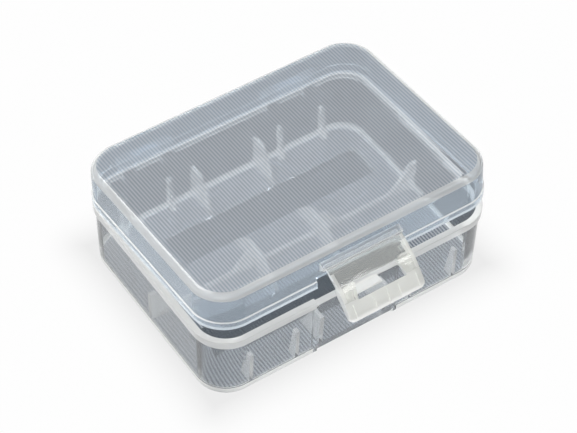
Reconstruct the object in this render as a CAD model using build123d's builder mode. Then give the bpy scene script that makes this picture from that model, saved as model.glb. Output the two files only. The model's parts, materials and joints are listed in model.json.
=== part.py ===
"""Pocket storage case for two round battery cells, in clear moulded plastic.

Five pieces: a tray with cell cradles, a lid, a snap latch hung from the lid's front ledge, and two
hinge pins.  Millimetres, +Z up.  The origin is the middle of the tray's footprint on the table, and
the latch side faces -Y.  The lid stands a little ajar and the latch hangs open, as when the case has
been let go; both angles are named below.
"""

import os
from math import cos, radians, sin, tan

from build123d import *

# ---- driving dimensions: the box ----
case_length = 77.0
case_depth = 57.6
corner_radius = 8.6
tray_height = 19.3
lid_height = 10.1
wall = 1.0
floor_thickness = 1.5
top_thickness = 1.2
wall_draft = 1.0
lid_ajar = 4.4

# ---- tray rim and foot ----
rim_band = 2.05
rim_overhang = 0.5
foot_fillet = 1.1
inner_fillet = 0.6

# ---- lid shell ----
lid_band = 2.05
lid_overhang = 0.3
lid_wall = 1.1
lid_draft = 0.5
lid_edge_fillet = 1.9
lid_inner_fillet = 0.9

# ---- cell cradles in the tray ----
strip_length = 54.5
strip_width = 9.4
strip_depth = 0.6
strip_shift = 4.75
rib_thickness = 1.0
rib_top = 10.8
main_rib_x = 8.8
main_rib_knee = 3.9
side_rib_x = (15.7, 28.0)
side_rib_knee = 1.2
side_rib_foot = 2.8
post_top = 7.9
post_half_width = 2.3
post_arm_flat = 2.4
post_arm_reach = 7.6
end_rib_top = 10.2
end_rib_knee = 1.6
end_rib_foot = 8.6
ridge_width = 1.2
ridge_height = 1.3
rib_hollow = 0.7
wall_rib_hollow = 0.05
seat = 0.4

# ---- front recess and catch ----
recess_width = 21.2
rim_gap_width = 23.0
rim_gap_drop = 1.8
recess_foot_depth = 0.8
recess_backing = 0.6
catch_width = 10.4
catch_reach = 1.9
catch_thickness = 0.6
catch_nose = 0.2

# ---- rear hinges ----
hinge_place = 0.26
hinge_width = 14.0
barrel_width = 6.4
knuckle_radius = 1.5
knuckle_gap = 0.3
pin_radius = 0.6
pin_grip = 0.01
pin_running = 0.08
ear_foot = 5.5

# ---- latch ----
latch_width = 20.0
latch_side_gap = 0.7
ledge_rise = 7.2
ledge_root = 1.5
ledge_reach = 1.95
ledge_overlap = 0.6
fold_rise = 5.9
fold_bead = 0.45
fold_gap = 0.07
notch_height = 2.8
cheek_thickness = 0.9
cheek_hollow = 0.6
latch_hang = 36.7
latch_length = 11.8
latch_bulge = 0.8
plate_thickness = 1.0
grip_start = 8.4
grip_depth = 1.2
grip_tip = 12.6
grip_tip_depth = 0.7
grip_heel = 11.6
grip_heel_depth = 1.5
window_start = 4.4
shoulder_width = 3.4
shoulder_lead = 0.5
window_top_width = 11.2
window_foot_width = 13.0
latch_corner = 1.5
groove_places = (-8.4, -3.1, 0.4, 3.4, 8.4)
groove_width = 0.5
groove_depth = 0.25

# ---- derived sizes ----
hinge_x = case_length * hinge_place
rim_underside = tray_height - rim_band
draft_growth = rim_underside * tan(radians(wall_draft))
foot_inset = rim_overhang + draft_growth
cavity_inset = foot_inset + wall
hinge_y = case_depth / 2 + knuckle_radius + knuckle_gap
floor_half_depth = case_depth / 2 - cavity_inset
floor_half_length = case_length / 2 - cavity_inset
bay_y = floor_half_depth / 2
front_wall = -(case_depth / 2 - rim_overhang)
recess_top = tray_height - rim_gap_drop


def inset_outline(inset):
    """Plan outline of the case drawn in by an inset: length, depth and corner radius."""
    return case_length - 2 * inset, case_depth - 2 * inset, corner_radius - inset


# ---- frames: the lid swings about the pins, the latch about its fold ----
lid_tilt = radians(lid_ajar)
hinge_line = Plane(origin=(0, hinge_y, tray_height), x_dir=(1, 0, 0), z_dir=(0, sin(lid_tilt), cos(lid_tilt)))
lid_base = Plane(origin=hinge_line.from_local_coords((0, -hinge_y, 0)), x_dir=hinge_line.x_dir,
                 z_dir=hinge_line.z_dir)
lid_side = Plane(origin=lid_base.origin, x_dir=lid_base.y_dir, z_dir=lid_base.x_dir)
tray_side = Plane.YZ
lid_face = -(case_depth / 2 - lid_overhang)
fold_y = lid_face - ledge_reach
fold_point = lid_side.from_local_coords((fold_y, fold_rise, 0))
hang = radians(latch_hang)
latch_side = Plane(origin=fold_point, x_dir=(0, -cos(hang), -sin(hang)), z_dir=(-1, 0, 0))
latch_front = Plane(origin=fold_point, x_dir=(1, 0, 0), z_dir=latch_side.y_dir)

# ---- tray ----
with BuildPart() as tray:
    with BuildSketch(Plane.XY):
        RectangleRounded(*inset_outline(foot_inset))
    extrude(amount=rim_underside, taper=-wall_draft)
    fillet(tray.faces().sort_by(Axis.Z)[0].edges(), foot_fillet)
    with BuildSketch(Plane.XY.offset(rim_underside)):
        RectangleRounded(*inset_outline(0))
    extrude(amount=rim_band)

    # the hollow, drafted like the outside so that the wall is even
    with BuildSketch(Plane.XY.offset(floor_thickness)):
        RectangleRounded(*inset_outline(cavity_inset))
    extrude(amount=tray_height - floor_thickness, taper=-wall_draft, mode=Mode.SUBTRACT)
    fillet(tray.faces().filter_by(Axis.Z).group_by(Axis.Z)[1].edges(), inner_fillet)

    # the front wall is set back under the latch, with a backing inside to keep its thickness
    with BuildSketch(tray_side):
        with BuildLine():
            Polyline(
                (front_wall, floor_thickness / 2),
                (front_wall, recess_top),
                (front_wall + wall + recess_backing, recess_top),
                (-floor_half_depth + recess_backing, floor_thickness / 2),
                close=True,
            )
        make_face()
    extrude(amount=rim_gap_width / 2, both=True)
    with BuildSketch(tray_side):
        with BuildLine():
            Polyline(
                (-case_depth, -tray_height),
                (-case_depth / 2 + foot_inset + recess_foot_depth, -tray_height),
                (-case_depth / 2 + foot_inset + recess_foot_depth, 0),
                (front_wall, recess_top),
                (front_wall, tray_height),
                (-case_depth, tray_height),
                close=True,
            )
        make_face()
    extrude(amount=recess_width / 2, both=True, mode=Mode.SUBTRACT)
    with BuildSketch(tray_side):
        with BuildLine():
            Polyline(
                (-case_depth, rim_underside),
                (front_wall, rim_underside),
                (front_wall, recess_top),
                (front_wall + 2 * wall, recess_top),
                (front_wall + 2 * wall, tray_height),
                (-case_depth, tray_height),
                close=True,
            )
        make_face()
    extrude(amount=rim_gap_width / 2, both=True, mode=Mode.SUBTRACT)

    # the catch that the latch's window drops over
    with BuildSketch(tray_side):
        with BuildLine():
            Polyline(
                (front_wall + wall / 2, recess_top),
                (front_wall - catch_reach + catch_nose, recess_top),
                (front_wall - catch_reach, recess_top - catch_nose),
                (front_wall - catch_reach, recess_top - catch_thickness + catch_nose / 2),
                (front_wall - catch_reach + catch_nose, recess_top - catch_thickness),
                (front_wall + wall / 2, recess_top - catch_thickness),
                close=True,
            )
        make_face()
    extrude(amount=catch_width / 2, both=True)

    # a shallow strip along the bottom of each bay; the two are turned end for end
    with BuildSketch(Plane.XY.offset(floor_thickness)):
        for turn in (1, -1):
            with Locations((turn * strip_shift, turn * bay_y)):
                Rectangle(strip_length, strip_width)
    extrude(amount=-strip_depth, mode=Mode.SUBTRACT)

    # main ribs rise from the strip to the long walls, side ribs are narrow
    strip_edge = bay_y + strip_width / 2
    rib_plan = [(x, main_rib_knee, floor_half_depth - strip_edge) for x in (-main_rib_x, main_rib_x)]
    for x in side_rib_x:
        rib_plan += [(-x, side_rib_knee, side_rib_foot), (x, side_rib_knee, side_rib_foot)]
    for x, knee, foot in rib_plan:
        for side in (1, -1):
            with BuildSketch(tray_side.offset(x - rib_thickness / 2)):
                with BuildLine():
                    wall_line = Polyline(
                        (side * (floor_half_depth - foot), floor_thickness - seat),
                        (side * (floor_half_depth + seat), floor_thickness - seat),
                        (side * (floor_half_depth + seat), rib_top),
                        (side * (floor_half_depth - knee), rib_top),
                    )
                    foot_line = Line(wall_line @ 0, (side * (floor_half_depth - foot), floor_thickness))
                    SagittaArc(wall_line @ 1, foot_line @ 1, side * wall_rib_hollow * foot)
                make_face()
            extrude(amount=rib_thickness)

    # a post between the bays at each pair of main ribs, hollowed to the cells on both sides
    post_foot = bay_y - strip_width / 2
    for side in (1, -1):
        with BuildSketch(tray_side.offset(side * main_rib_x - rib_thickness / 2)):
            with BuildLine():
                post_base = Line((-post_foot, floor_thickness - seat), (post_foot, floor_thickness - seat))
                right_foot = Line(post_base @ 1, (post_foot, floor_thickness))
                right_side = SagittaArc(right_foot @ 1, (post_half_width, post_top), -rib_hollow)
                crown = Line(right_side @ 1, (-post_half_width, post_top))
                left_side = SagittaArc(crown @ 1, (-post_foot, floor_thickness), -rib_hollow)
                Line(left_side @ 1, post_base @ 0)
            make_face()
        extrude(amount=rib_thickness)
        with BuildSketch(Plane.XZ.offset(-rib_thickness / 2)):
            with BuildLine():
                Polyline(
                    (side * main_rib_x, floor_thickness - seat),
                    (side * main_rib_x, post_top),
                    (side * (main_rib_x + post_arm_flat), post_top),
                    (side * (main_rib_x + post_arm_reach), floor_thickness),
                    (side * (main_rib_x + post_arm_reach), floor_thickness - seat),
                    close=True,
                )
            make_face()
        extrude(amount=rib_thickness)

        # a rib in the middle of each end wall
        with BuildSketch(Plane.XZ.offset(-rib_thickness / 2)):
            with BuildLine():
                end_line = Polyline(
                    (side * (floor_half_length - end_rib_foot), floor_thickness - seat),
                    (side * (floor_half_length + seat), floor_thickness - seat),
                    (side * (floor_half_length + seat), end_rib_top),
                    (side * (floor_half_length - end_rib_knee), end_rib_top),
                )
                end_foot = Line(end_line @ 0, (side * (floor_half_length - end_rib_foot), floor_thickness))
                SagittaArc(end_line @ 1, end_foot @ 1, side * rib_hollow)
            make_face()
        extrude(amount=rib_thickness)

    # a low ridge parts the two bays along their length
    with BuildSketch(Plane.XY.offset(floor_thickness - seat)):
        Rectangle(2 * (floor_half_length - end_rib_knee), ridge_width)
    extrude(amount=ridge_height + seat)

    # ears that hold the pins, a pair at each hinge
    ear_width = (hinge_width - barrel_width) / 2 - knuckle_gap
    ear_step = knuckle_radius * cos(radians(45))
    for hinge in (-hinge_x, hinge_x):
        for start in (hinge - hinge_width / 2, hinge + hinge_width / 2 - ear_width):
            with BuildSketch(tray_side.offset(start)):
                with Locations((hinge_y, tray_height)):
                    Circle(knuckle_radius)
                with BuildLine():
                    Polyline(
                        (case_depth / 2 - seat, tray_height),
                        (hinge_y, tray_height),
                        (hinge_y + ear_step, tray_height - ear_step),
                        (case_depth / 2 - rim_overhang - seat, tray_height - ear_foot),
                        close=True,
                    )
                make_face()
                with Locations((hinge_y, tray_height)):
                    Circle(pin_radius + pin_grip, mode=Mode.SUBTRACT)
            extrude(amount=ear_width)

# ---- lid ----
with BuildPart() as lid:
    with BuildSketch(lid_base):
        RectangleRounded(*inset_outline(lid_overhang))
    extrude(amount=lid_height, taper=lid_draft)
    up = Axis(lid_base.origin, lid_base.z_dir)
    fillet(lid.faces().sort_by(up)[-1].edges(), lid_edge_fillet)
    with BuildSketch(lid_base):
        RectangleRounded(*inset_outline(0))
    extrude(amount=lid_band)
    with BuildSketch(lid_base):
        RectangleRounded(*inset_outline(lid_overhang + lid_wall))
    extrude(amount=lid_height - top_thickness, taper=lid_draft, mode=Mode.SUBTRACT)
    lid_ceiling = lid.faces().filter_by(up).group_by(up)[-2]
    fillet(lid_ceiling.edges(), lid_inner_fillet)

    # the opening in the front skirt behind the latch
    with BuildSketch(lid_side):
        with Locations((lid_face, notch_height / 2)):
            Rectangle(4 * lid_wall, notch_height)
    extrude(amount=latch_width / 2 + 2 * latch_side_gap, both=True, mode=Mode.SUBTRACT)

    # the ledge that carries the latch, thinning to the fold, with a cheek at each end
    with BuildSketch(lid_side):
        with BuildLine():
            Polyline(
                (lid_face + lid_wall / 2, ledge_rise),
                (lid_face, ledge_rise),
                (fold_y, fold_rise + fold_bead),
                (fold_y, fold_rise - fold_bead / 2),
                (lid_face, ledge_rise - ledge_root),
                (lid_face + lid_wall / 2, ledge_rise - ledge_root),
                close=True,
            )
        make_face()
        with Locations((fold_y, fold_rise)):
            Circle(fold_bead + fold_gap, mode=Mode.SUBTRACT)
    extrude(amount=latch_width / 2 + ledge_overlap, both=True)
    for start in (-latch_width / 2 - ledge_overlap, latch_width / 2 + ledge_overlap - cheek_thickness):
        with BuildSketch(lid_side.offset(start)):
            with BuildLine():
                cheek_back = Polyline(
                    (lid_face, notch_height),
                    (lid_face + lid_wall / 2, notch_height),
                    (lid_face + lid_wall / 2, ledge_rise),
                    (lid_face, ledge_rise),
                    (fold_y + 2 * fold_bead, fold_rise + fold_bead),
                    (fold_y + 2 * fold_bead, fold_rise),
                )
                SagittaArc(cheek_back @ 1, cheek_back @ 0, -cheek_hollow)
            make_face()
        extrude(amount=cheek_thickness)

    # the barrels between the tray's ears
    for hinge in (-hinge_x, hinge_x):
        with BuildSketch(lid_side.offset(hinge - barrel_width / 2)):
            with Locations((hinge_y, 0)):
                Circle(knuckle_radius)
            with BuildLine():
                Polyline(
                    (case_depth / 2 - seat, 0),
                    (hinge_y, 0),
                    (hinge_y, knuckle_radius),
                    (case_depth / 2 - seat, lid_band),
                    close=True,
                )
            make_face()
            with Locations((hinge_y, 0)):
                Circle(pin_radius + pin_running, mode=Mode.SUBTRACT)
        extrude(amount=barrel_width)

# ---- latch: drawn from its side, x runs down the plate and y away from the case ----
with BuildPart() as latch:
    with BuildSketch(latch_side):
        Circle(fold_bead)
        with BuildLine():
            front = SagittaArc((0, fold_bead), (latch_length, 0), latch_bulge)
            under = Polyline(
                front @ 1,
                (grip_tip, -grip_tip_depth),
                (grip_heel, -grip_heel_depth),
                (grip_start, -grip_depth),
                (grip_start, fold_bead - plate_thickness + latch_bulge / 2),
            )
            back = SagittaArc(under @ 1, (fold_bead * 0.6, -fold_bead * 0.8), -latch_bulge / 2)
            Line(back @ 1, front @ 0)
        make_face()
    extrude(amount=latch_width / 2, both=True)

    # thick shoulders beside the window
    for side in (1, -1):
        with BuildSketch(latch_side.offset(side * latch_width / 2)):
            with BuildLine():
                Polyline(
                    (window_start, fold_bead),
                    (grip_start + seat, fold_bead),
                    (grip_start + seat, -grip_depth),
                    (window_start + shoulder_lead, -grip_depth),
                    (window_start, -grip_depth + shoulder_lead),
                    close=True,
                )
            make_face()
        extrude(amount=-side * shoulder_width)

    # rounded lower corners, and the window that drops over the catch
    with BuildSketch(latch_front):
        with Locations((0, -(grip_tip - fold_bead) / 2)):
            outline = Rectangle(latch_width, grip_tip + fold_bead)
        fillet(outline.vertices().group_by(Axis.Y)[0], latch_corner)
    extrude(amount=2 * plate_thickness + grip_depth, both=True, mode=Mode.INTERSECT)
    with BuildSketch(latch_front):
        with BuildLine():
            Polyline(
                (-window_top_width / 2, -window_start),
                (window_top_width / 2, -window_start),
                (window_foot_width / 2, -grip_start),
                (-window_foot_width / 2, -grip_start),
                close=True,
            )
        make_face()
    extrude(amount=2 * plate_thickness, both=True, mode=Mode.SUBTRACT)

    # shallow grooves down the front of the grip
    with BuildSketch(*[latch_side.offset(-place - groove_width / 2) for place in groove_places]):
        with BuildLine():
            groove_end = latch_length + seat
            groove_floor = SagittaArc((0, fold_bead - groove_depth), (groove_end, -groove_depth), latch_bulge)
            Polyline(groove_floor @ 1, (groove_end, grip_tip), (0, grip_tip), groove_floor @ 0)
        make_face()
        with Locations((0, 0)):
            Rectangle(2 * (grip_start + seat), 4 * grip_tip, mode=Mode.SUBTRACT)
    extrude(amount=groove_width, mode=Mode.SUBTRACT)

# ---- hinge pins ----
pins = {}
for name, hinge in (("hinge_pin_left", -hinge_x), ("hinge_pin_right", hinge_x)):
    with BuildPart() as pin:
        with BuildSketch(tray_side.offset(hinge - hinge_width / 2)):
            with Locations((hinge_y, tray_height)):
                Circle(pin_radius)
        extrude(amount=hinge_width)
    pins[name] = pin.part

# ---- hand over ----
os.makedirs("parts", exist_ok=True)
tray.part.label = "base_tray"
lid.part.label = "lid"
latch.part.label = "latch_flap"
export_step(tray.part, "parts/base_tray.step")
export_step(lid.part, "parts/lid.step")
export_step(latch.part, "parts/latch_flap.step")
for name, part in pins.items():
    part.label = name
    export_step(part, f"parts/{name}.step")
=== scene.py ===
"""Clear moulded storage case for two round cells: tray, lid, snap latch and hinge pins.

The scene is in metres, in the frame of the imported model.  Sizes below are in millimetres, because the
case was measured that way, and are turned into metres when a mesh is made.  The lid is built shut and
then tilted about its hinge line.  The latch is drawn from its side and then hung from the frame's fold.
"""

import json
import logging
from dataclasses import dataclass
from enum import Enum, IntEnum
from math import cos, pi, radians, sin, tan
from typing import Iterable, Sequence

import bmesh
import bpy
from mathutils import Matrix, Vector


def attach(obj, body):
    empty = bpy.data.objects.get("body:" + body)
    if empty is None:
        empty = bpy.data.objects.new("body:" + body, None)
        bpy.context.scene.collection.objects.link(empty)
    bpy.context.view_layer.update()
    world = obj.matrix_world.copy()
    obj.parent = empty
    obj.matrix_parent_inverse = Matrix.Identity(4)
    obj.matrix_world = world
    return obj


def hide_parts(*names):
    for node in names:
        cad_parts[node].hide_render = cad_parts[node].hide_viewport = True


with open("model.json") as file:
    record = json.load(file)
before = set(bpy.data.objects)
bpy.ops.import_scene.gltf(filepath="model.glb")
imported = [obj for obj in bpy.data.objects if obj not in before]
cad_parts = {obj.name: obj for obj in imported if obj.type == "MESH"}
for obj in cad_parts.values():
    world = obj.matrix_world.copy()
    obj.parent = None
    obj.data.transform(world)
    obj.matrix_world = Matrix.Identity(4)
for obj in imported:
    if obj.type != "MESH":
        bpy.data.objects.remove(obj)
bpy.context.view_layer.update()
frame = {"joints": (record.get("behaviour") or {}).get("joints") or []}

log = logging.getLogger("cell_case")
MM = 0.001
# Faces larger than this, in square metres, are flat and keep a flat normal: a bent one would bend what is
# seen through the wall.
BROAD_FACE = 4e-5
# Millimetres that are well outside the case, for the open sides of cutting tools.
OUTSIDE = 40.0
ABOVE = 25.0
BELOW = -5.0

Point2 = tuple[float, float]
Point3 = tuple[float, float, float]


class Body(Enum):
    """The rigid bodies of the frame that pieces ride on."""

    TRAY = "tray"
    LID = "lid"
    LATCH = "latch"


class TrayFinish(IntEnum):
    """Material slots of the tray."""

    WALL = 0
    FLOOR = 1
    STRIP = 2
    RIM = 3
    RIB = 4
    FOOT_AND_PAINTED_LIGHT = 5


class LidFinish(IntEnum):
    """Material slots of the lid."""

    WALL = 0
    TOP = 1
    BRIM_AND_HIGHLIGHT = 2
    LEDGE = 3
    CEILING = 4


class LatchFinish(IntEnum):
    """Material slots of the latch."""

    PLATE = 0
    GRIP = 1


# ---------------------------------------------------------------- mesh helpers


def arc(centre: Point2, radius: float, start: float, stop: float, steps: int) -> list[Point2]:
    """Points along a circular arc.

    Args:
        centre: Centre of the arc.
        radius: Radius of the arc.
        start: Angle of the first point, in degrees.
        stop: Angle of the last point, in degrees.
        steps: Number of straight steps.

    Returns:
        The points, both ends included.
    """
    angles = [radians(start + (stop - start) * i / steps) for i in range(steps + 1)]
    return [(centre[0] + radius * cos(a), centre[1] + radius * sin(a)) for a in angles]


def bow(start: Point2, stop: Point2, sagitta: float, steps: int = 10) -> list[Point2]:
    """Points of a shallow curve between two ends.

    Args:
        start: First end.
        stop: Second end.
        sagitta: Height of the curve over its chord, positive to the left of the way from start to stop.
        steps: Number of straight steps.

    Returns:
        The points, both ends included.
    """
    dx, dy = stop[0] - start[0], stop[1] - start[1]
    length = (dx * dx + dy * dy) ** 0.5
    nx, ny = -dy / length, dx / length
    points = []
    for i in range(steps + 1):
        t = i / steps
        rise = 4 * sagitta * t * (1 - t)
        points.append((start[0] + dx * t + nx * rise, start[1] + dy * t + ny * rise))
    return points


def rounded_ring(
    half_x: float, half_y: float, radius: float, z: float, corner_steps: int = 20
) -> list[Point3]:
    """Closed outline of a rectangle with round corners, counter-clockwise from the right side.

    Args:
        half_x: Half of the length.
        half_y: Half of the depth.
        radius: Corner radius.
        z: Height of the outline.
        corner_steps: Straight steps in each corner.

    Returns:
        The outline's points.
    """
    ring: list[Point3] = []
    for sx, sy, first in ((1, 1, 0), (-1, 1, 90), (-1, -1, 180), (1, -1, 270)):
        centre = (sx * (half_x - radius), sy * (half_y - radius))
        ring += [(x, y, z) for x, y in arc(centre, radius, first, first + 90, corner_steps)]
    return ring


def mesh_object(name: str, points: Iterable[Point3], faces: Iterable[Sequence[int]]) -> bpy.types.Object:
    """Makes an object from points in millimetres, with its faces turned outward.

    Args:
        name: Name of the piece.
        points: Vertices, in millimetres.
        faces: Vertex numbers of each face.

    Returns:
        The new object, linked to the scene.
    """
    mesh = bpy.data.meshes.new(name)
    mesh.from_pydata([(x * MM, y * MM, z * MM) for x, y, z in points], [], [tuple(f) for f in faces])
    work = bmesh.new()
    work.from_mesh(mesh)
    bmesh.ops.recalc_face_normals(work, faces=work.faces)
    work.to_mesh(mesh)
    work.free()
    piece = bpy.data.objects.new(name, mesh)
    bpy.context.scene.collection.objects.link(piece)
    return piece


def loft(name: str, rings: Sequence[Sequence[Point3]]) -> bpy.types.Object:
    """Skins a run of closed outlines with the same number of points, and caps both ends.

    Args:
        name: Name of the piece.
        rings: The outlines, from one cap to the other.

    Returns:
        The closed object.
    """
    count = len(rings[0])
    points = [p for ring in rings for p in ring]
    faces: list[Sequence[int]] = [list(range(count))]
    for level in range(len(rings) - 1):
        low, high = level * count, (level + 1) * count
        for i in range(count):
            j = (i + 1) % count
            faces.append((low + i, low + j, high + j, high + i))
    faces.append(list(range((len(rings) - 1) * count, len(rings) * count)))
    return mesh_object(name, points, faces)


def slab(
    name: str, section: Sequence[Point2], start: float, stop: float, edge: float = 0.0
) -> bpy.types.Object:
    """A section in the side plane (y, z), run along x, with small rounded edges.

    Args:
        name: Name of the piece.
        section: Corners of the section, in order.
        start: First x.
        stop: Last x.
        edge: Width of the rounded edges, or 0 for sharp ones.

    Returns:
        The closed object.
    """
    count = len(section)
    points = [(start, y, z) for y, z in section] + [(stop, y, z) for y, z in section]
    faces: list[Sequence[int]] = [list(range(count)), list(range(count, 2 * count))]
    faces += [(i, (i + 1) % count, count + (i + 1) % count, count + i) for i in range(count)]
    piece = mesh_object(name, points, faces)
    if edge:
        round_edges(piece, edge)
    return piece


def turned_slab(
    name: str, section: Sequence[Point2], start: float, stop: float, edge: float
) -> bpy.types.Object:
    """A section in the front plane (x, z), run along y.

    Args:
        name: Name of the piece.
        section: Corners of the section, in order.
        start: First y.
        stop: Last y.
        edge: Width of the rounded edges.

    Returns:
        The closed object.
    """
    piece = slab(name, section, start, stop, edge)
    piece.data.transform(Matrix(((0, 1, 0, 0), (1, 0, 0, 0), (0, 0, 1, 0), (0, 0, 0, 1))))
    piece.data.flip_normals()
    return piece


def round_edges(piece: bpy.types.Object, width: float, angle: float = 35.0) -> None:
    """Rounds the edges of a piece that are sharper than an angle.

    Args:
        piece: The object to round, changed in place.
        width: Width of the rounding, in millimetres.
        angle: Smallest turn that is rounded, in degrees.
    """
    work = bmesh.new()
    work.from_mesh(piece.data)
    sharp = [e for e in work.edges if len(e.link_faces) == 2 and e.calc_face_angle(0) > radians(angle)]
    shape = {"offset": width * MM, "segments": 2, "profile": 0.5}
    bmesh.ops.bevel(work, geom=sharp, affect="EDGES", clamp_overlap=True, **shape)
    work.to_mesh(piece.data)
    work.free()


def combine(target: bpy.types.Object, tools: Sequence[bpy.types.Object], operation: str) -> None:
    """Joins tools to a piece, or cuts them out of it, one after another, and removes them.

    Args:
        target: The piece, changed in place.
        tools: Closed objects.
        operation: UNION or DIFFERENCE.
    """
    for tool in tools:
        modifier = target.modifiers.new(tool.name, "BOOLEAN")
        modifier.operation = operation
        modifier.solver = "EXACT"
        modifier.object = tool
    graph = bpy.context.evaluated_depsgraph_get()
    made = bpy.data.meshes.new_from_object(target.evaluated_get(graph))
    target.modifiers.clear()
    old = target.data
    target.data = made
    bpy.data.meshes.remove(old)
    for tool in tools:
        bpy.data.objects.remove(tool)


def mark(tools: Iterable[bpy.types.Object], slot: int) -> list[bpy.types.Object]:
    """Gives tools the material slot that their faces keep once they are part of a piece.

    Args:
        tools: The tools to mark.
        slot: Number of the slot.

    Returns:
        The same tools.
    """
    marked = list(tools)
    for tool in marked:
        tool.data.polygons.foreach_set("material_index", [int(slot)] * len(tool.data.polygons))
    return marked


def smooth(piece: bpy.types.Object, angle: float = 32.0) -> None:
    """Shades a piece smooth, with creases left sharp.

    Args:
        piece: The object to shade.
        angle: Turn above which an edge stays sharp, in degrees.
    """
    piece.data.polygons.foreach_set("use_smooth", [True] * len(piece.data.polygons))
    piece.data.set_sharp_from_angle(angle=radians(angle))
    for face in piece.data.polygons:
        if face.area > BROAD_FACE:
            face.use_smooth = False


# ---------------------------------------------------------------- node helpers


class NodeTree:
    """A short hand for building one shader node tree."""

    def __init__(self, tree: bpy.types.NodeTree) -> None:
        """Keeps the tree that nodes are added to."""
        self.tree = tree

    def add(self, kind: str, **settings: object) -> bpy.types.Node:
        """Adds a node.

        Args:
            kind: The node's type name.
            settings: Properties to set on it.

        Returns:
            The new node.
        """
        node = self.tree.nodes.new(kind)
        for key, value in settings.items():
            setattr(node, key, value)
        return node

    def link(self, source: bpy.types.NodeSocket, target: bpy.types.NodeSocket) -> None:
        """Joins an output to an input."""
        self.tree.links.new(source, target)

    def maths(
        self, operation: str, first: object, second: object = None, clamp: bool = False
    ) -> bpy.types.NodeSocket:
        """Adds a Math node.

        Args:
            operation: The sum to do.
            first: A socket or a number.
            second: A socket, a number or nothing.
            clamp: Whether the result is kept between 0 and 1.

        Returns:
            The node's output.
        """
        node = self.add("ShaderNodeMath", operation=operation, use_clamp=clamp)
        for socket, value in zip(node.inputs, (first, second)):
            if isinstance(value, bpy.types.NodeSocket):
                self.link(value, socket)
            elif value is not None:
                socket.default_value = value
        return node.outputs[0]

    def mix(self, factor: object, first: object, second: object) -> bpy.types.NodeSocket:
        """Adds a colour mix.

        Args:
            factor: A socket or a number.
            first: Colour or socket at 0.
            second: Colour or socket at 1.

        Returns:
            The mixed colour.
        """
        node = self.add("ShaderNodeMix", data_type="RGBA")
        for socket, value in ((node.inputs[0], factor), (node.inputs[6], first), (node.inputs[7], second)):
            if isinstance(value, bpy.types.NodeSocket):
                self.link(value, socket)
            else:
                socket.default_value = value
        return node.outputs[2]


def group(name: str, inputs: dict[str, float], outputs: Sequence[str]) -> tuple[NodeTree, dict, dict]:
    """Starts a shader node group with float sockets.

    Args:
        name: Name of the group.
        inputs: Input names with their usual values.
        outputs: Output names.

    Returns:
        The tree helper, its input sockets by name, and its output sockets by name.
    """
    tree = bpy.data.node_groups.new(name, "ShaderNodeTree")
    for label, value in inputs.items():
        socket = tree.interface.new_socket(label, in_out="INPUT", socket_type="NodeSocketFloat")
        socket.default_value = value
    for label in outputs:
        tree.interface.new_socket(label, in_out="OUTPUT", socket_type="NodeSocketFloat")
    helper = NodeTree(tree)
    ends = helper.add("NodeGroupInput"), helper.add("NodeGroupOutput")
    return helper, {s.name: s for s in ends[0].outputs}, {s.name: s for s in ends[1].inputs}


def fine_lines_group() -> bpy.types.NodeTree:
    """Builds the group that draws the fine moulded lines, which run from front to back.

    Returns:
        The node group, with Pitch in metres and Sharpness, and a Height from 0 to 1.
    """
    tree, source, result = group("fine_lines", {"Pitch": 0.00088, "Sharpness": 1.0}, ["Height"])
    place = tree.add("ShaderNodeTexCoord")
    parts = tree.add("ShaderNodeSeparateXYZ")
    tree.link(place.outputs["Object"], parts.inputs[0])
    turns = tree.maths("DIVIDE", parts.outputs["X"], source["Pitch"])
    wave = tree.maths("SINE", tree.maths("MULTIPLY", turns, 2 * pi))
    steep = tree.maths("MULTIPLY", wave, source["Sharpness"])
    tree.link(tree.maths("ADD", tree.maths("MULTIPLY", steep, 0.5), 0.5, clamp=True), result["Height"])
    return tree.tree


def moulded_group() -> bpy.types.NodeTree:
    """Builds the group of slow unevenness that any moulded face has: flow, haze and tiny scuffs.

    Returns:
        The node group, with Scale, and Flow, Haze and Scuffs from 0 to 1.
    """
    tree, source, result = group("moulded_face", {"Scale": 1.0}, ["Flow", "Haze", "Scuffs"])
    place = tree.add("ShaderNodeTexCoord")
    for label, scale, detail in (("Flow", 60.0, 2.0), ("Haze", 170.0, 4.0), ("Scuffs", 1400.0, 6.0)):
        noise = tree.add("ShaderNodeTexNoise")
        noise.inputs["Detail"].default_value = detail
        tree.link(place.outputs["Object"], noise.inputs["Vector"])
        tree.link(tree.maths("MULTIPLY", source["Scale"], scale), noise.inputs["Scale"])
        tree.link(noise.outputs[0], result[label])
    return tree.tree


# ---------------------------------------------------------------- finishes


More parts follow.
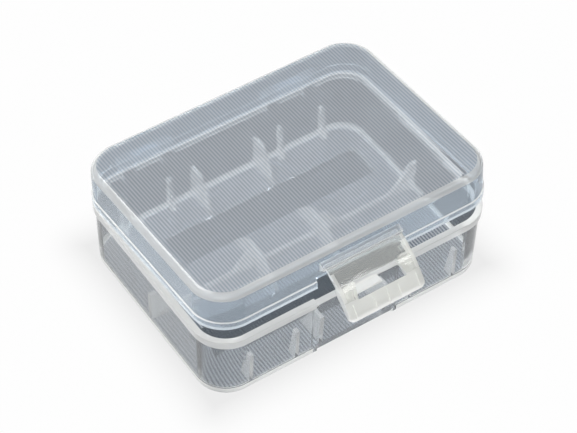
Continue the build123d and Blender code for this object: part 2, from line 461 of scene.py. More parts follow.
@dataclass(frozen=True)
class ClearPlastic:
    """Clear polypropylene: glassy, with some milk in it.

    The milk is the share of light that the plastic turns back before it gets through, so thin walls are
    almost clear and stacked walls and thick edges go white.
    """

    name: str
    tint: tuple[float, float, float]
    clear: float
    roughness: float = 0.05
    ior: float = 1.45
    lines: float = 0.0
    line_pitch: float = 0.0008
    line_tint: tuple[float, float, float] = (0.5, 0.56, 0.6)
    line_height: float = 0.000003
    shade: float = 0.9
    haze: float = 0.93
    scuff: float = 0.06
    flow_height: float = 0.00002
    line_sharpness: float = 1.4

    def build(self) -> bpy.types.Material:
        """Builds the material.

        Returns:
            The material, ready to put in a slot.
        """
        material = bpy.data.materials.new(self.name)
        material.use_nodes = True
        material.node_tree.nodes.clear()
        tree = NodeTree(material.node_tree)
        shader = tree.add("ShaderNodeBsdfPrincipled")
        output = tree.add("ShaderNodeOutputMaterial")
        tree.link(shader.outputs[0], output.inputs["Surface"])
        shader.inputs["Transmission Weight"].default_value = self.clear
        shader.inputs["IOR"].default_value = self.ior
        shader.inputs["Metallic"].default_value = 0.0

        face = tree.add("ShaderNodeGroup", node_tree=GROUPS["moulded"])
        flow = face.outputs["Flow"]
        pale = (*self.tint, 1.0)
        deep = (*(self.haze * c for c in self.tint), 1.0)
        colour = tree.mix(face.outputs["Haze"], deep, pale)
        scuffs = tree.maths("MULTIPLY", face.outputs["Scuffs"], self.scuff)
        rough = tree.maths("ADD", scuffs, self.roughness - self.scuff / 2)
        tree.link(rough, shader.inputs["Roughness"])
        bump = tree.add("ShaderNodeBump")
        bump.inputs["Strength"].default_value = 1.0
        bump.inputs["Distance"].default_value = 1.0
        height = tree.maths("MULTIPLY", flow, self.flow_height)
        if self.lines:
            lined = tree.add("ShaderNodeGroup", node_tree=GROUPS["lines"])
            lined.inputs["Pitch"].default_value = self.line_pitch
            lined.inputs["Sharpness"].default_value = self.line_sharpness
            stripe = tree.maths("MULTIPLY", lined.outputs["Height"], self.lines)
            colour = tree.mix(stripe, colour, (*self.line_tint, 1.0))
            ridge = tree.maths("MULTIPLY", lined.outputs["Height"], self.line_height)
            height = tree.maths("ADD", height, ridge)
        tree.link(colour, shader.inputs["Base Color"])
        tree.link(height, bump.inputs["Height"])
        tree.link(bump.outputs[0], shader.inputs["Normal"])
        ray = tree.add("ShaderNodeLightPath")
        veil = tree.maths("MULTIPLY", ray.outputs["Is Shadow Ray"], self.shade)
        tree.link(tree.maths("SUBTRACT", 1.0, veil), shader.inputs["Alpha"])
        return material


GROUPS: dict[str, bpy.types.NodeTree] = {}


# ---------------------------------------------------------------- the case


@dataclass(frozen=True)
class CaseSizes:
    """Sizes that the tray and the lid share, in millimetres."""

    length: float = 77.0
    depth: float = 57.6
    corner: float = 8.6
    tray_height: float = 19.3
    lid_height: float = 10.1
    wall: float = 1.0
    edge: float = 0.14
    hinge_x: float = 20.0
    hinge_y: float = 30.6
    hinge_width: float = 14.0
    barrel_width: float = 6.4
    knuckle: float = 1.5
    latch_half: float = 10.0
    lid_ajar: float = 4.4

    def ring(self, inset: float, z: float) -> list[Point3]:
        """The case's outline drawn in by an inset, at a height.

        Args:
            inset: How far inside the outline.
            z: Height.

        Returns:
            The outline's points.
        """
        return rounded_ring(self.length / 2 - inset, self.depth / 2 - inset, self.corner - inset, z)

    def shell(self, name: str, section: Sequence[Point2]) -> bpy.types.Object:
        """A closed shell from a section of (inset, height) points.

        Args:
            name: Name of the piece.
            section: The section, from the outer cap round to the inner one.

        Returns:
            The shell.
        """
        return loft(name, [self.ring(inset, z) for inset, z in section])


@dataclass
class Tray:
    """The lower moulding: walls, rim, cradles, latch recess, catch and hinge ears."""

    sizes: CaseSizes
    foot_inset: float = 0.80
    rim_overhang: float = 0.5
    rim_band: float = 2.05
    foot_fillet: float = 1.1
    foot_edge: float = 1.1
    floor: float = 1.5
    inner_fillet: float = 0.6
    strip_depth: float = 0.6
    strip_size: Point2 = (54.5, 9.4)
    strip_shift: float = 4.75
    rib: float = 1.0
    rib_top: float = 10.8
    recess_half: float = 10.6
    gap_half: float = 11.5
    gap_floor: float = 17.5
    seat: float = 0.4
    post_x: float = 8.8
    side_rib_x: Point2 = (15.7, 28.0)
    main_knee: float = 3.9
    side_rib_size: Point2 = (1.2, 2.8)
    post_half: float = 2.3
    post_top: float = 7.9
    arm_top: float = 7.7
    arm_reach: Point2 = (2.4, 7.6)
    end_top: float = 10.2
    end_reach: Point2 = (1.6, 8.6)
    ridge_rise: float = 1.3
    catch_half: float = 5.2
    catch_tip: float = -30.2
    catch_foot: float = 16.9
    catch_chamfer: float = 0.15
    ear_foot: float = 5.5
    pin_hole: float = 0.61

    def section(self) -> list[Point2]:
        """The wall's section as (inset, height) points, from under the foot round to the floor."""
        inner = self.foot_inset + self.sizes.wall
        top, under, edge = self.sizes.tray_height, self.sizes.tray_height - self.rim_band, self.sizes.edge
        foot = arc((self.foot_inset + self.foot_fillet, self.foot_fillet), self.foot_fillet, 270, 180, 8)
        lean = (self.foot_inset - self.rim_overhang) / (under - self.foot_fillet)
        foot.append((self.foot_inset - lean * self.foot_edge, self.foot_fillet + self.foot_edge))
        wall = [(self.rim_overhang + 0.005, under - 2 * edge), (self.rim_overhang, under - edge)]
        root = [(self.rim_overhang - 0.3 * edge, under - 0.3 * edge), (self.rim_overhang - edge, under)]
        lower = arc((edge, under + edge), edge, 270, 180, 4)
        upper = arc((edge, top - edge), edge, 180, 90, 4)
        lip_inset = self.rim_overhang + self.sizes.wall
        inside = arc((lip_inset - edge, top - edge), edge, 90, 0, 4)
        soft = self.inner_fillet
        base = arc((inner + soft, self.floor + soft), soft, 180, 270, 6)
        return foot + wall + root + lower + upper + inside + base

    def wall_rib(self, name: str, x: float, knee: float, foot: float, side: int) -> bpy.types.Object:
        """One rib on a long wall.

        Args:
            name: Name of the tool.
            x: Middle of the rib.
            knee: Length of its flat top from the wall.
            foot: How far its foot reaches from the wall.
            side: 1 at the back, -1 at the front.

        Returns:
            The rib.
        """
        reach = self.sizes.depth / 2 - self.foot_inset - self.sizes.wall
        curve = bow((reach - knee, self.rib_top), (reach - foot, self.floor), 0.05 * foot)
        section = [(reach + self.seat, self.floor - self.seat), (reach + self.seat, self.rib_top)]
        section += curve + [(reach - foot, self.floor - self.seat)]
        points = [(side * y, z) for y, z in section]
        return slab(name, points, x - self.rib / 2, x + self.rib / 2, 0.1)

    def cradles(self) -> list[bpy.types.Object]:
        """All the ribs, posts and ridges that hold the cells."""
        tools = []
        floor_half = self.sizes.depth / 2 - self.foot_inset - self.sizes.wall
        end_half = self.sizes.length / 2 - self.foot_inset - self.sizes.wall
        main_foot = floor_half / 2 - self.strip_size[1] / 2
        for side in (1, -1):
            for hand in (1, -1):
                tools.append(self.wall_rib("main_rib", hand * self.post_x, self.main_knee, main_foot, side))
                for x in self.side_rib_x:
                    tools.append(self.wall_rib("side_rib", hand * x, *self.side_rib_size, side))
        sunk = self.floor - self.seat
        for hand in (1, -1):
            right = bow((main_foot, self.floor), (self.post_half, self.post_top), -0.7)
            left = [(-y, z) for y, z in reversed(right)]
            post = [(main_foot, sunk)] + right + left + [(-main_foot, sunk)]
            x = hand * self.post_x
            tools.append(slab("post", post, x - self.rib / 2, x + self.rib / 2, 0.1))
            knee, foot = (x + hand * reach for reach in self.arm_reach)
            arm = [(x, sunk), (x, self.arm_top), (knee, self.arm_top), (foot, self.floor), (foot, sunk)]
            tools.append(turned_slab("post_arm", arm, -self.rib / 2, self.rib / 2, 0.1))
            knee, foot = (end_half - reach for reach in self.end_reach)
            curve = bow((knee, self.end_top), (foot, self.floor), 0.5)
            back = end_half + self.seat
            end = [(back, sunk), (back, self.end_top)] + curve + [(foot, sunk)]
            end = [(hand * px, pz) for px, pz in end]
            tools.append(turned_slab("end_rib", end, -self.rib / 2, self.rib / 2, 0.1))
        crest = self.floor + self.ridge_rise
        ridge = [(-0.6, sunk), (0.6, sunk), (0.55, crest), (-0.55, crest)]
        tools.append(slab("ridge", ridge, -end_half + self.end_reach[0], end_half - self.end_reach[0], 0.1))
        return tools

    def ears(self) -> list[bpy.types.Object]:
        """The pairs of ears behind the rim that hold the pins."""
        tools = []
        size, top = self.sizes, self.sizes.tray_height
        width = (size.hinge_width - size.barrel_width) / 2 - 0.3
        for hinge in (-size.hinge_x, size.hinge_x):
            for start in (hinge - size.hinge_width / 2, hinge + size.hinge_width / 2 - width):
                eye = arc((size.hinge_y, top), size.knuckle, 180, -45, 18)
                root = size.depth / 2 - 0.9
                foot = [(root, top - self.ear_foot), (root, top - 0.2)]
                tools.append(slab("ear", eye + foot, start, start + width, 0.1))
        return tools

    def pin_holes(self) -> list[bpy.types.Object]:
        """The holes through the ears."""
        size, holes = self.sizes, []
        for hinge in (-size.hinge_x, size.hinge_x):
            ring = arc((size.hinge_y, size.tray_height), self.pin_hole, 0, 345, 23)
            holes.append(slab("pin_hole", ring, hinge - 7.5, hinge + 7.5))
        return holes

    def build(self) -> bpy.types.Object:
        """Builds the tray.

        Returns:
            The finished piece, riding on its body.
        """
        size = self.sizes
        tray = size.shell("tray_moulding", self.section())
        self.finishes(tray)
        front = -(size.depth / 2 - self.rim_overhang)
        inner = -(size.depth / 2 - self.foot_inset - size.wall)
        foot = -size.depth / 2 + self.foot_inset + 0.8
        face, top = front + 0.2, self.gap_floor + 1
        backing = [(face, self.floor / 2), (face, top), (front + 1.6, top), (inner + 0.6, self.floor / 2)]
        combine(tray, [slab("backing", backing, -self.gap_half, self.gap_half)], "UNION")
        combine(tray, mark(self.cradles(), TrayFinish.RIB), "UNION")
        combine(tray, self.ears(), "UNION")
        recess = [(-OUTSIDE, BELOW), (foot, BELOW), (foot, 0), (front, self.gap_floor)]
        recess += [(front, ABOVE), (-OUTSIDE, ABOVE)]
        under = size.tray_height - self.rim_band
        gap = [(-OUTSIDE, under), (front, under), (front, self.gap_floor), (front + 2, self.gap_floor)]
        gap += [(front + 2, ABOVE), (-OUTSIDE, ABOVE)]
        cuts = [slab("recess", recess, -self.recess_half, self.recess_half, 0.05)]
        cuts.append(slab("rim_gap", gap, -self.gap_half, self.gap_half, 0.12))
        cuts += mark(self.strips(), TrayFinish.STRIP) + self.pin_holes()
        combine(tray, cuts, "DIFFERENCE")
        combine(tray, mark([self.catch(front + 0.5)], TrayFinish.RIM), "UNION")
        smooth(tray)
        self.dress(tray)
        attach(tray, Body.TRAY.value)
        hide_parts("base_tray")
        return tray

    def catch(self, root: float) -> bpy.types.Object:
        """The catch that the latch snaps over.

        Args:
            root: The y at which it starts, inside the wall.

        Returns:
            The catch.
        """
        top, tip, foot = self.gap_floor, self.catch_tip, self.catch_foot
        shoulder = tip + self.catch_chamfer
        nose = [(root, top), (shoulder, top), (tip, top - self.catch_chamfer)]
        nose += [(tip, foot + 0.1), (shoulder, foot), (root, foot)]
        return slab("catch", nose, -self.catch_half, self.catch_half, 0.06)

    def strips(self) -> list[bpy.types.Object]:
        """The shallow strips sunk into the floor, one under each cell."""
        bay = (self.sizes.depth / 2 - self.foot_inset - self.sizes.wall) / 2
        tools = []
        for turn in (1, -1):
            middle = (turn * self.strip_shift, turn * bay)
            low, high = middle[1] - self.strip_size[1] / 2, middle[1] + self.strip_size[1] / 2
            deep, over = self.floor - self.strip_depth, self.floor + 0.4
            cut = [(low, deep), (high, deep), (high, over), (low, over)]
            half = self.strip_size[0] / 2
            tools.append(slab("strip", cut, middle[0] - half, middle[0] + half, 0.1))
        return tools

    def finishes(self, tray: bpy.types.Object) -> None:
        """Adds the tray's finishes, in the order of TrayFinish.

        Args:
            tray: The piece to add them to.
        """
        for finish in (
            ClearPlastic("tray_clear_wall", (0.86, 0.89, 0.91), 0.93),
            ClearPlastic(
                "tray_lined_floor", (0.92, 0.94, 0.96), 0.66, lines=1.0, line_tint=(0.34, 0.39, 0.46)
            ),
            ClearPlastic("tray_floor_strip", (0.90, 0.94, 0.97), 0.96, lines=0.6),
            ClearPlastic("tray_thick_rim", (0.97, 0.97, 0.95), 0.40),
            ClearPlastic("tray_milky_rib", (0.96, 0.96, 0.95), 0.58, roughness=0.2),
            ClearPlastic("tray_foot_painted_light", (1.0, 1.0, 0.97), 0.08),
        ):
            tray.data.materials.append(finish.build())

    def dress(self, tray: bpy.types.Object) -> None:
        """Puts the lined floor, the thick rim and the foot in their own finish; the foot's near opaque white
        is the milk of its thick edge plus painted light standing in for light bounced up from the pale
        floor.

        Args:
            tray: The piece to dress.
        """
        band = self.sizes.tray_height - self.rim_band - 0.15
        behind = self.sizes.depth / 2 + 0.05
        foot_top = self.foot_fillet + self.foot_edge + 0.05
        for face in tray.data.polygons:
            if face.material_index != TrayFinish.WALL:
                continue
            heights = [tray.data.vertices[i].co.z / MM for i in face.vertices]
            low, high = min(heights), max(heights)
            if face.normal.z > 0.95 and high < self.floor + 0.05:
                face.material_index = TrayFinish.FLOOR
            # The foot band: a thick milky edge, whitened further with painted light bounced up from the
            # floor.
            elif 0.02 < high < foot_top and face.normal.z < 0.3:
                face.material_index = TrayFinish.FOOT_AND_PAINTED_LIGHT
            elif low > band and face.center.y / MM < behind:
                face.material_index = TrayFinish.RIM


@dataclass
class Lid:
    """The upper moulding: lined top, skirt with its band, latch ledge and hinge barrels, built shut."""

    sizes: CaseSizes
    tilt: Matrix
    overhang: float = 0.3
    wall: float = 1.1
    draft: float = 0.5
    top: float = 1.2
    band: float = 2.05
    fillet: float = 1.9
    inner_fillet: float = 0.9
    notch_half: float = 11.4
    notch_height: float = 2.8
    ledge_half: float = 10.6
    ledge_top: float = 7.2
    ledge_under: float = 5.7
    tip_radius: float = 0.52
    cheek: float = 0.9
    fold: Point2 = (-30.45, 5.9)
    bore: float = 0.68
    thin_face: float = 5e-6

    def section(self) -> list[Point2]:
        """The wall's section as (inset, height) points, from the top round to the ceiling."""
        high, edge = self.sizes.lid_height, self.sizes.edge
        slope = tan(radians(self.draft))
        shoulder = self.overhang + slope * (high - self.fillet)
        crown = arc((shoulder + self.fillet, high - self.fillet), self.fillet, 90, 180, 12)
        root = [(self.overhang + 0.01, self.band + edge), (self.overhang - 0.04, self.band + 0.3 * edge)]
        band_top = arc((edge, self.band - edge), edge, 90, 180, 4)
        band_foot = arc((edge, edge), edge, 180, 270, 4)
        inset = self.overhang + self.wall
        inside = arc((inset - edge, edge), edge, 270, 360, 4)
        ceiling = high - self.top
        inner = inset + slope * (ceiling - self.inner_fillet)
        soft = arc((inner + self.inner_fillet, ceiling - self.inner_fillet), self.inner_fillet, 180, 90, 7)
        return crown + root + band_top + band_foot + inside + soft

    def ledge(self) -> list[bpy.types.Object]:
        """The ledge that carries the latch, with a hollow-backed cheek at each end."""
        face = -(self.sizes.depth / 2 - self.overhang)
        fold_y, fold_z = self.fold
        root = face + 0.55
        tip = arc(self.fold, self.tip_radius, 60, -25, 8)
        top = [(root, self.ledge_top), (face, self.ledge_top), (fold_y + 0.32, fold_z + 0.6)]
        under = [(fold_y + 0.6, fold_z - 0.24), (face, self.ledge_under), (root, self.ledge_under)]
        shelf = slab("ledge", top + tip + under, -self.ledge_half, self.ledge_half, 0.2)
        tools = [shelf]
        hollow = bow((fold_y + 0.95, fold_z - 0.2), (face, self.notch_height), 0.6)
        high = self.ledge_top - 0.1
        cheek = [(root, self.notch_height), (root, high), (face, high), (fold_y + 0.95, fold_z + 0.5)]
        for start in (-self.ledge_half, self.ledge_half - self.cheek):
            tools.append(slab("cheek", cheek + hollow, start, start + self.cheek, 0.08))
        return tools

    def barrels(self) -> list[bpy.types.Object]:
        """The barrels that turn on the pins."""
        size, tools = self.sizes, []
        for hinge in (-size.hinge_x, size.hinge_x):
            low = hinge - size.barrel_width / 2
            eye = arc((size.hinge_y, 0.0), size.knuckle, 90, -180, 22)
            root = size.depth / 2 - 0.6
            arm = [(root, 0.15), (root, self.band - 0.1)]
            tools.append(slab("barrel", eye + arm, low, low + size.barrel_width, 0.1))
        return tools

    def bores(self) -> list[bpy.types.Object]:
        """The bores of the barrels."""
        size, tools = self.sizes, []
        for hinge in (-size.hinge_x, size.hinge_x):
            ring = arc((size.hinge_y, 0.0), self.bore, 0, 345, 23)
            tools.append(slab("bore", ring, hinge - 4, hinge + 4))
        return tools

    def build(self) -> bpy.types.Object:
        """Builds the lid.

        Returns:
            The finished piece, riding on its body.
        """
        size = self.sizes
        lid = size.shell("lid_moulding", self.section())
        self.finishes(lid)
        notch = [(-32, -3), (-26, -3), (-26, self.notch_height), (-32, self.notch_height)]
        combine(lid, [slab("notch", notch, -self.notch_half, self.notch_half, 0.3)], "DIFFERENCE")
        combine(lid, mark(self.ledge(), LidFinish.LEDGE) + self.barrels(), "UNION")
        combine(lid, self.bores(), "DIFFERENCE")
        smooth(lid)
        self.dress(lid)
        lid.data.transform(self.tilt)
        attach(lid, Body.LID.value)
        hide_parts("lid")
        return lid

    def finishes(self, lid: bpy.types.Object) -> None:
        """Adds the lid's finishes, in the order of LidFinish.

        Args:
            lid: The piece to add them to.
        """
        for finish in (
            ClearPlastic("lid_clear_wall", (0.80, 0.89, 0.97), 0.80),
            ClearPlastic(
                "lid_lined_top",
                (0.93, 0.95, 0.98),
                0.62,
                roughness=0.035,
                lines=1.0,
                line_pitch=0.00077,
                line_tint=(0.58, 0.64, 0.70),
            ),
            ClearPlastic("lid_brim_and_painted_highlight", (0.98, 0.98, 0.96), 0.50),
            ClearPlastic("lid_ledge", (0.93, 0.94, 0.94), 0.80),
            ClearPlastic("lid_ceiling", (0.88, 0.92, 0.96), 0.92, roughness=0.035),
        ):
            lid.data.materials.append(finish.build())

    def dress(self, lid: bpy.types.Object) -> None:
        """Puts the lined top, the ceiling, the brim and the ledge's and band's edges in their own finish;
        the band's upper and lower edges take the white brim finish as painted highlight lines.

        Args:
            lid: The piece to dress, still shut.
        """
        high = self.sizes.lid_height
        behind = self.sizes.depth / 2 + 0.05
        for face in lid.data.polygons:
            z = face.center.z / MM
            if face.material_index == LidFinish.LEDGE and face.area < self.thin_face:
                face.material_index = LidFinish.BRIM_AND_HIGHLIGHT
            if face.material_index != LidFinish.WALL:
                continue
            if abs(face.normal.z) > 0.95 and z > high - self.top - 0.05:
                face.material_index = LidFinish.TOP if face.normal.z > 0 else LidFinish.CEILING
            elif z > high - self.fillet * 0.9 and face.normal.z > 0.05:
                face.material_index = LidFinish.BRIM_AND_HIGHLIGHT
            # The band's upper and lower edges take the white brim finish: painted highlight lines along the
            # band.
            elif z < self.band + 0.1 and abs(face.normal.z) > 0.25 and face.center.y / MM < behind:
                face.material_index = LidFinish.BRIM_AND_HIGHLIGHT


@dataclass
class Latch:
    """The snap latch: a thin plate with a window, and a thick grip round it, hung from the fold.

    It is drawn from its side: u runs down the plate from the fold, v away from the case.
    """

    sizes: CaseSizes
    fold: Vector
    hang: float = 36.7
    length: float = 11.8
    bulge: float = 0.8
    bead: float = 0.45
    plate: float = 1.0
    grip_start: float = 8.4
    selvedge: float = 0.9
    shoulder: float = 3.4
    corner: float = 1.5
    groove_half: float = 0.25
    window: tuple[float, float, float, float] = (4.4, 8.4, 5.6, 6.5)
    groove_places: tuple[float, ...] = (-8.4, -3.1, 0.4, 3.4, 8.4)

    def outer(self, u: float) -> float:
        """How far the outer face stands off the chord at a distance down the plate."""
        t = u / self.length
        return self.bead * (1 - t) + 4 * self.bulge * t * (1 - t)

    def section(self) -> list[Point2]:
        """The side section as (u, v) points."""
        front = [(u, self.outer(u)) for u in [self.length * i / 16 for i in range(17)]]
        start = self.grip_start
        grip = [(12.2, -0.35), (12.6, -0.7), (12.3, -1.0), (11.6, -1.5)]
        grip += [(start, -1.2), (start, self.outer(start) - self.plate)]
        back = [(u, self.outer(u) - self.plate) for u in (7, 6, 5, 4, 3, 2, 1.2)]
        bead = arc((0, 0), self.bead, 295, 90, 14)
        return front + grip + back + bead[:-1]

    def build(self) -> bpy.types.Object:
        """Builds the latch.

        Returns:
            The finished piece, riding on its body.
        """
        half = self.sizes.latch_half
        latch = slab("latch_moulding", self.section(), -half, half, 0.12)
        start, stop, top, foot = self.window
        hole = [(-top, start), (top, start), (foot, stop), (-foot, stop)]
        cutter = slab("window", hole, -3, 3, 0.1)
        cutter.data.transform(Matrix(((0, 1, 0, 0), (0, 0, 1, 0), (1, 0, 0, 0), (0, 0, 0, 1))))
        self.finishes(latch)
        combine(latch, mark(self.shoulders() + self.selvedges(), LatchFinish.GRIP), "UNION")
        combine(latch, [cutter] + self.corners() + self.grooves(), "DIFFERENCE")
        smooth(latch)
        self.dress(latch)
        latch.data.transform(self.hung())
        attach(latch, Body.LATCH.value)
        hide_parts("latch_flap")
        return latch

    def corners(self) -> list[bpy.types.Object]:
        """Tools that round off the two lower corners."""
        tools = []
        for hand in (1, -1):
            half, low, r = self.sizes.latch_half, 12.6, self.corner
            curve = [(hand * x, u) for x, u in arc((half - r, low - r), r, 0, 90, 10)]
            past = hand * (half + 1)
            section = curve + [(hand * (half - r), low + 1), (past, low + 1), (past, low - r)]
            tool = slab("corner", section, -3, 3)
            tool.data.transform(Matrix(((0, 1, 0, 0), (0, 0, 1, 0), (1, 0, 0, 0), (0, 0, 0, 1))))
            tools.append(tool)
        return tools

    def shoulders(self) -> list[bpy.types.Object]:
        """The thick shoulders beside the window."""
        section = [(4.4, 0.5), (8.7, 0.5), (8.7, -1.2), (4.9, -1.2), (4.4, -0.7)]
        half = self.sizes.latch_half
        return [slab("shoulder", section, x, x + self.shoulder, 0.12) for x in (-half, half - self.shoulder)]

    def selvedges(self) -> list[bpy.types.Object]:
        """The thick rounded edges down both sides of the plate."""
        front = [(u, self.outer(u) + 0.04) for u in (1, 2, 3, 4, 5, 6, 7, 8)]
        back = [(u, self.outer(u) - self.plate - 0.04) for u in (8, 7, 6, 5, 4, 3, 2, 1)]
        half = self.sizes.latch_half
        width = self.selvedge
        return [slab("selvedge", front + back, x, x + width, 0.12) for x in (-half, half - width)]

    def grooves(self) -> list[bpy.types.Object]:
        """Tools for the shallow grooves down the front of the grip."""
        end = self.length + 0.4
        floor = [(u, self.outer(u) - 0.25) for u in (8.8, 9.6, 10.4, 11.2, 11.8)]
        section = floor + [(end, -0.28), (end, 3.0), (8.8, 3.0)]
        half = self.groove_half
        return [slab("groove", section, x - half, x + half) for x in self.groove_places]

    def hung(self) -> Matrix:
        """The turn and the move from the drawing (x, u, v) to where the latch hangs."""
        a = radians(self.hang)
        turn = Matrix(((1, 0, 0, 0), (0, -cos(a), -sin(a), 0), (0, -sin(a), cos(a), 0), (0, 0, 0, 1)))
        return Matrix.Translation(self.fold) @ turn

    def finishes(self, latch: bpy.types.Object) -> None:
        """Adds the latch's finishes, in the order of LatchFinish.

        Args:
            latch: The piece to add them to.
        """
        for finish in (
            ClearPlastic("latch_plate", (0.92, 0.92, 0.88), 0.82),
            ClearPlastic("latch_grip", (0.97, 0.97, 0.93), 0.42, roughness=0.10),
        ):
            latch.data.materials.append(finish.build())

    def dress(self, latch: bpy.types.Object) -> None:
        """Puts the grip and the plate's side edges in the thicker finish.

        Args:
            latch: The piece to dress, as drawn.
        """
        for face in latch.data.polygons:
            if face.center.y / MM > self.grip_start - 0.05 or abs(face.normal.x) > 0.7:
                face.material_index = LatchFinish.GRIP


@dataclass
class HingePin:
    """One hinge pin: a clear moulded rod with chamfered ends."""

    sizes: CaseSizes
    name: str
    x: float
    radius: float = 0.6

    def build(self) -> bpy.types.Object:
        """Builds the pin.

        Returns:
            The finished piece, riding on its body.
        """
        half = self.sizes.hinge_width / 2
        profile = [(-half, 0.2), (-half + 0.05, 0.45), (-half + 0.2, self.radius)]
        profile += [(-x, r) for x, r in reversed(profile)]
        rings = []
        for x, r in profile:
            turn = [2 * pi * i / 28 for i in range(28)]
            high = self.sizes.tray_height
            rings.append([(self.x + x, self.sizes.hinge_y + r * cos(a), high + r * sin(a)) for a in turn])
        pin = loft(f"{self.name}_rod", rings)
        smooth(pin)
        pin.data.materials.append(ClearPlastic(f"{self.name}_clear", (0.90, 0.92, 0.93), 0.92).build())
        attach(pin, Body.TRAY.value)
        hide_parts(self.name)
        return pin


# ---------------------------------------------------------------- room, light and camera


@dataclass(frozen=True)
class Lamp:
    """One soft lamp that looks at the case: its place and size in metres, and its power in watts."""

    name: str
    place: Point3
    size: Point2
    power: float

    def build(self) -> None:
        """Adds the lamp to the scene."""
        data = bpy.data.lights.new(self.name, "AREA")
        data.shape = "RECTANGLE"
        data.size, data.size_y = self.size
        data.energy = self.power
        lamp = bpy.data.objects.new(self.name, data)
        lamp.location = self.place
        lamp.rotation_euler = (Vector((0, 0, 0.01)) - Vector(self.place)).to_track_quat("-Z", "Y").to_euler()
        bpy.context.scene.collection.objects.link(lamp)


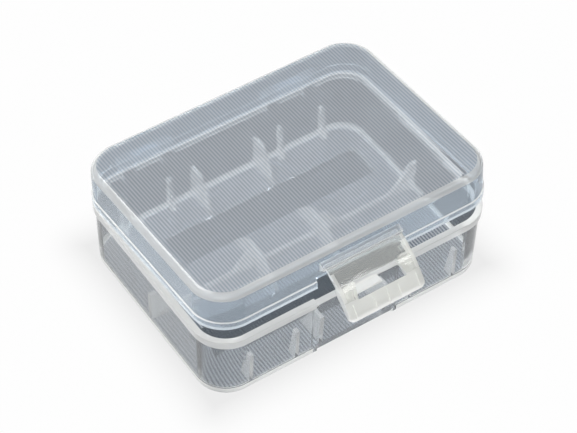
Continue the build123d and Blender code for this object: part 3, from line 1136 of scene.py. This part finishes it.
@dataclass
class Room:
    """A plain pale floor, soft lamps and the camera.

    The floor's footprint is half the length and depth of what stands on it.  Its painted contact shadow
    reaches a little way out.  Seen through the case, it is dark near by and pale further off: near by it is
    a dark ground that is also painted shadow of the case.
    """

    lamps: tuple[Lamp, ...] = (
        Lamp("key_lamp", (-0.25, 0.45, 0.75), (0.5, 0.5), 4.4),
        Lamp("fill_lamp", (-0.48, -0.56, 0.4), (0.5, 0.5), 1.9),
        Lamp("edge_lamp", (0.34, -0.54, 0.63), (0.5, 0.08), 0.6),
    )
    sky: tuple[float, float, float] = (0.93, 0.96, 1.0)
    sky_strength: float = 0.32
    footprint: Point2 = (0.038, 0.028)
    contact_reach: float = 0.012
    contact_depth: float = 0.16
    painted_shadow_reach: float = 0.045
    painted_shadow_fade: float = 0.15
    image_width: float = 577.0
    sensor: float = 36.0
    pale: tuple[float, float, float] = (1.0, 1.0, 1.0)
    dark_ground_and_painted_shadow: tuple[float, float, float] = (0.04, 0.05, 0.065)
    azimuth: float = -34.934
    elevation: float = 48.387
    roll: float = 1.376
    distance: float = 0.504943
    focal: float = 2191.089
    target: Point3 = (0.0, 0.0, 0.015)
    shift: Point2 = (0.0020, -0.0073)

    def floor(self) -> bpy.types.Object:
        """Builds the floor.

        It is pale to the camera and in mirrored rays, with a painted contact shadow round the footprint.
        Near the case, what is seen through the plastic is a dark ground, which is also painted shadow of the
        case.  Diffuse rays meet a pale floor outside the footprint, and the same dark ground under it.

        Returns:
            The floor, marked as stage.
        """
        reach = 3000.0
        points = [(-reach, -reach, 0.0), (reach, -reach, 0.0), (reach, reach, 0.0), (-reach, reach, 0.0)]
        floor = mesh_object("floor", points, [(0, 1, 2, 3)])
        floor.location.z = -0.00005
        material = bpy.data.materials.new("floor_paper")
        material.use_nodes = True
        material.node_tree.nodes.clear()
        tree = NodeTree(material.node_tree)
        output = tree.add("ShaderNodeOutputMaterial")
        place = tree.add("ShaderNodeTexCoord")
        parts = tree.add("ShaderNodeSeparateXYZ")
        tree.link(place.outputs["Object"], parts.inputs[0])
        squares = []
        for axis, half in zip("XY", self.footprint):
            past = tree.maths("SUBTRACT", tree.maths("ABSOLUTE", parts.outputs[axis]), half)
            past = tree.maths("MAXIMUM", past, 0.0)
            squares.append(tree.maths("MULTIPLY", past, past))
        away = tree.maths("SQRT", tree.maths("ADD", *squares))
        # Painted contact shadow round the footprint, seen by the camera.
        near = tree.maths("SUBTRACT", 1.0, tree.maths("DIVIDE", away, self.contact_reach), clamp=True)
        soft = tree.maths("MULTIPLY", tree.maths("POWER", near, 2.0), self.contact_depth)
        grain = tree.add("ShaderNodeTexNoise")
        grain.inputs["Scale"].default_value = 900.0
        tree.link(place.outputs["Object"], grain.inputs["Vector"])
        speck = tree.maths("ADD", tree.maths("MULTIPLY", grain.outputs[0], 0.01), 0.985)
        shown = tree.maths("MULTIPLY", tree.maths("SUBTRACT", 1.0, soft), speck)
        # Painted shadow: seen through the plastic, the floor is a dark ground near the case and goes pale
        # further off.
        far = tree.maths("DIVIDE", tree.maths("SUBTRACT", away, self.painted_shadow_reach), self.painted_shadow_fade, clamp=True)
        ray = tree.add("ShaderNodeLightPath")
        glossy, sent = ray.outputs["Is Glossy Ray"], ray.outputs["Is Transmission Ray"]
        mirrored = tree.maths("SUBTRACT", glossy, sent, clamp=True)
        direct = tree.maths("MAXIMUM", ray.outputs["Is Camera Ray"], mirrored)
        through = tree.maths("MULTIPLY", sent, far)
        lit = tree.maths("MAXIMUM", direct, through)
        diffuse = tree.add("ShaderNodeBsdfDiffuse")
        outside = tree.maths("GREATER_THAN", away, 0.001)
        around = tree.maths("MULTIPLY", outside, ray.outputs["Is Diffuse Ray"])
        tree.link(tree.mix(around, (*self.dark_ground_and_painted_shadow, 1.0), (*self.pale, 1.0)), diffuse.inputs["Color"])
        glow = tree.add("ShaderNodeEmission")
        tree.link(tree.mix(shown, (0.0, 0.0, 0.0, 1.0), (*self.pale, 1.0)), glow.inputs["Color"])
        blend = tree.add("ShaderNodeMixShader")
        tree.link(lit, blend.inputs[0])
        tree.link(diffuse.outputs[0], blend.inputs[1])
        tree.link(glow.outputs[0], blend.inputs[2])
        tree.link(blend.outputs[0], output.inputs["Surface"])
        floor.data.materials.append(material)
        return floor

    def world(self) -> None:
        """Sets the plain pale surroundings."""
        world = bpy.data.worlds.new("studio")
        bpy.context.scene.world = world
        world.use_nodes = True
        back = world.node_tree.nodes["Background"]
        back.inputs["Color"].default_value = (*self.sky, 1.0)
        back.inputs["Strength"].default_value = self.sky_strength

    def camera(self) -> None:
        """Sets the camera where the photograph was taken from."""
        az, el, roll = radians(self.azimuth), radians(self.elevation), radians(self.roll)
        out = Vector((sin(az) * cos(el), -cos(az) * cos(el), sin(el)))
        ahead = -out
        right = ahead.cross(Vector((0, 0, 1))).normalized()
        up = right.cross(ahead)
        side = right * cos(roll) + up * sin(roll)
        top = -right * sin(roll) + up * cos(roll)
        data = bpy.data.cameras.new("camera")
        data.lens = self.focal / self.image_width * self.sensor
        data.sensor_width = self.sensor
        data.shift_x, data.shift_y = self.shift
        data.clip_start, data.clip_end = 0.01, 20.0
        camera = bpy.data.objects.new("camera", data)
        turn = Matrix((side, top, out)).transposed().to_4x4()
        camera.matrix_world = Matrix.Translation(Vector(self.target) + out * self.distance) @ turn
        bpy.context.scene.collection.objects.link(camera)
        bpy.context.scene.camera = camera

    def build(self) -> None:
        """Builds the floor, the surroundings, the lamps and the camera."""
        self.floor()
        self.world()
        for lamp in self.lamps:
            lamp.build()
        self.camera()


# ---------------------------------------------------------------- assembly


def swing(axis_y: float, axis_z: float, degrees: float) -> Matrix:
    """The turn of a body about a hinge line that runs along x.

    Args:
        axis_y: The line's y, in millimetres.
        axis_z: The line's z, in millimetres.
        degrees: Angle, positive to open.

    Returns:
        The turn, for meshes in metres.
    """
    place = Matrix.Translation((0, axis_y * MM, axis_z * MM))
    return place @ Matrix.Rotation(-radians(degrees), 4, "X") @ place.inverted()


def main() -> None:
    logging.basicConfig(level=logging.INFO, format="%(name)s: %(message)s")
    GROUPS["lines"] = fine_lines_group()
    GROUPS["moulded"] = moulded_group()
    sizes = CaseSizes()
    fold = next(j for j in frame["joints"] if j["name"] == "latch_hinge")["pos_m"]
    raise_lid = Matrix.Translation((0, 0, sizes.tray_height * MM))
    tilt = swing(sizes.hinge_y, sizes.tray_height, sizes.lid_ajar) @ raise_lid
    makers = [Tray(sizes), Lid(sizes, tilt), Latch(sizes, Vector(fold))]
    makers.append(HingePin(sizes, "hinge_pin_left", -sizes.hinge_x))
    makers.append(HingePin(sizes, "hinge_pin_right", sizes.hinge_x))
    for maker in makers:
        piece = maker.build()
        log.info("%s: %d faces", piece.name, len(piece.data.polygons))
    Room().build()
    bpy.context.scene.view_settings.view_transform = "Standard"


if __name__ == "__main__":
    main()
